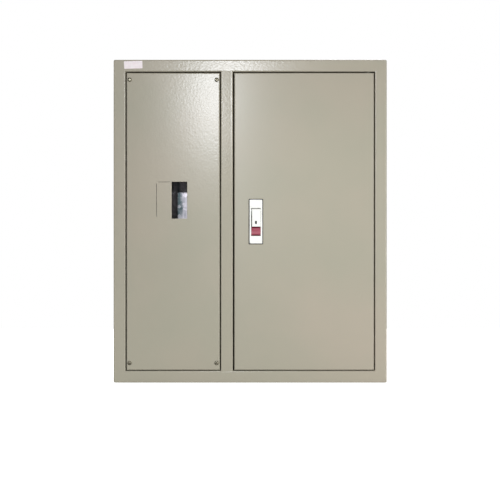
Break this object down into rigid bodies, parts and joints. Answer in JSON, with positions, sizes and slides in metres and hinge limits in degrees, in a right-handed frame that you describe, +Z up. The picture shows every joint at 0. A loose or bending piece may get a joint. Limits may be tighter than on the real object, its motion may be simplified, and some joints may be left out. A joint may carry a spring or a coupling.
{
  "type": "distribution box",
  "caption": "Wall-fixed sheet-steel distribution box with a fixed cover that has a switch window and a hinged door with a flush push-button lock.",
  "frame": {"origin": "middle of the four wall fixing holes, on the back face", "axes": "+X to the right seen from the front, +Y to the wall, +Z up"},
  "size_m": [0.55, 0.153, 0.65],
  "materials": {
    "beige_paint": "fine orange-peel powder coat, satin",
    "galvanised_steel": "spangled zinc",
    "zinc_fastener": "bright zinc plate",
    "rail_zinc": "zinc plate",
    "bar_brass": "drawn brass",
    "bar_screw_zinc": "zinc plate",
    "blue_plastic": "moulded",
    "green_plastic": "moulded",
    "black_foam": "closed-cell foam",
    "gasket_rubber": "moulded rubber",
    "white_plastic": "moulded, semi-gloss",
    "red_plastic": "moulded, semi-gloss",
    "bush_nylon": "grey nylon",
    "lock_zinc": "zinc-plated die cast and steel"
  },
  "bodies": {
    "cabinet": {"back_panel": "beige_paint", "bottom_gland_plate": "galvanised_steel", "bottom_gland_screws": "zinc_fastener", "cabinet_shell": "beige_paint", "centre_mullion": "beige_paint", "cover_panel": "beige_paint", "cover_screws": "zinc_fastener", "cover_seal": "black_foam", "din_rail_screws": "zinc_fastener", "door_seal": "black_foam", "earth_bar": "bar_brass", "earth_bar_screws": "bar_screw_zinc", "earth_bar_supports": "green_plastic", "earth_nut": "zinc_fastener", "earth_stud": "zinc_fastener", "inner_cover": "beige_paint", "inner_cover_posts": "zinc_fastener", "inner_cover_screws": "zinc_fastener", "left_rail_upright": "galvanised_steel", "lower_din_rail": "rail_zinc", "lower_pivot_pin": "zinc_fastener", "neutral_bar": "bar_brass", "neutral_bar_screws": "bar_screw_zinc", "neutral_bar_supports": "blue_plastic", "right_rail_upright": "galvanised_steel", "switch_plate": "galvanised_steel", "switch_plate_screws": "zinc_fastener", "switch_plate_standoffs": "zinc_fastener", "top_gland_plate": "galvanised_steel", "top_gland_screws": "zinc_fastener", "upper_din_rail": "rail_zinc", "upper_pivot_pin": "zinc_fastener", "upright_nuts": "zinc_fastener", "upright_studs": "zinc_fastener"},
    "door": {"door_panel": "beige_paint", "door_stiffener": "beige_paint", "upper_pivot_bush": "bush_nylon", "lower_pivot_bush": "bush_nylon", "door_earth_stud": "zinc_fastener", "door_earth_nut": "zinc_fastener", "lock_bezel": "white_plastic", "lock_gasket": "gasket_rubber", "lock_backing_plate": "lock_zinc", "lock_fixing_screws": "zinc_fastener", "flap_pin": "lock_zinc", "button_spring": "lock_zinc"},
    "flap": {"lock_flap": "white_plastic"},
    "key_plug": {"lock_plug": "white_plastic"},
    "button": {"push_button": "red_plastic"},
    "cam": {"lock_spindle": "lock_zinc", "lock_cam": "lock_zinc", "cam_screw": "zinc_fastener"}
  },
  "joints": [
    {"name": "door_hinge", "type": "hinge", "parent": "cabinet", "child": "door", "pos_m": [0.238, -0.143, 0], "axis": [0, 0, 1], "range_deg": [0, 110]},
    {"name": "flap_lift", "type": "hinge", "parent": "door", "child": "flap", "pos_m": [0.0115, -0.1495, 0.0217], "axis": [-1, 0, 0], "range_deg": [0, 40]},
    {"name": "key_turn", "type": "hinge", "parent": "flap", "child": "key_plug", "pos_m": [0.0115, -0.15, -0.0026], "axis": [0, 1, 0], "range_deg": [0, 90]},
    {"name": "button_press", "type": "slide", "parent": "door", "child": "button", "axis": [0, 1, 0], "range_m": [0, 0.003], "stiffness_N_per_m": 600, "springref_m": -0.002, "deforming": ["button_spring"]},
    {"name": "cam_turn", "type": "hinge", "parent": "door", "child": "cam", "pos_m": [0.0115, -0.132, 0.0169], "axis": [0, 1, 0], "range_deg": [0, 90]}
  ]
}
